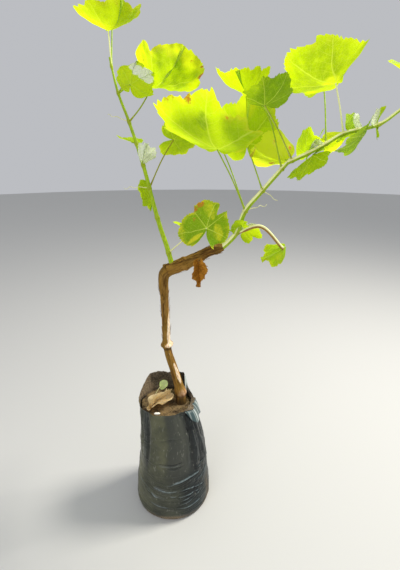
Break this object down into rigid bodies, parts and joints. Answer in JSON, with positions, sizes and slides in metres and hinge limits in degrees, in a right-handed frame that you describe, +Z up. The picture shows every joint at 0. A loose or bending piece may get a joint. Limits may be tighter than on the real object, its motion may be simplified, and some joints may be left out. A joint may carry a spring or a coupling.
{
  "type": "grape sapling",
  "caption": "Young grape vine in a black film bag: a leaning woody trunk, a thick arm to the right, two green canes and broad lobed leaves on long stalks.",
  "frame": {"origin": "the middle of the bag's flat underside", "axes": "+Z up, +X the side of the arm and the long cane, -Y the front"},
  "size_m": [0.5988, 0.3178, 1.0079],
  "materials": {
    "bag_film": "satin, creased",
    "soil": "loose and damp",
    "bark": "fibrous, peeling",
    "green_cane": "satin green skin",
    "green_leaf": "satin",
    "deep_green_leaf": "satin",
    "yellow_leaf": "satin",
    "dead_leaf": "dry",
    "dried_leaf": "dry and papery"
  },
  "bodies": {
    "root": {"bag": "bag_film", "soil": "soil", "fallen_leaf": "dried_leaf", "low_leaf": "green_leaf", "trunk": "bark", "arm": "bark", "left_cane": "green_cane", "right_cane": "green_cane", "right_cane_end": "green_cane", "leaf_left_1": "deep_green_leaf", "leaf_left_2": "green_leaf", "leaf_left_3": "green_leaf", "leaf_left_4": "green_leaf", "leaf_left_5": "yellow_leaf", "leaf_left_6": "green_leaf", "leaf_left_7": "green_leaf", "leaf_left_8": "green_leaf", "leaf_left_9": "green_leaf", "leaf_left_tip": "green_leaf", "leaf_right_1": "green_leaf", "leaf_right_2": "green_leaf", "leaf_right_3": "green_leaf", "leaf_right_4": "green_leaf", "leaf_right_5": "deep_green_leaf", "leaf_right_6": "yellow_leaf", "leaf_right_7": "green_leaf", "leaf_right_8": "green_leaf", "leaf_right_9": "green_leaf", "leaf_end_1": "green_leaf", "leaf_end_2": "green_leaf", "leaf_end_3": "green_leaf", "leaf_end_4": "yellow_leaf", "leaf_end_5": "green_leaf", "leaf_end_6": "green_leaf", "leaf_end_7": "green_leaf", "leaf_end_8": "green_leaf", "leaf_end_9": "green_leaf", "leaf_end_10": "green_leaf", "leaf_end_11": "green_leaf", "leaf_end_tip": "green_leaf", "dead_leaf": "dead_leaf"}
  },
  "joints": []
}
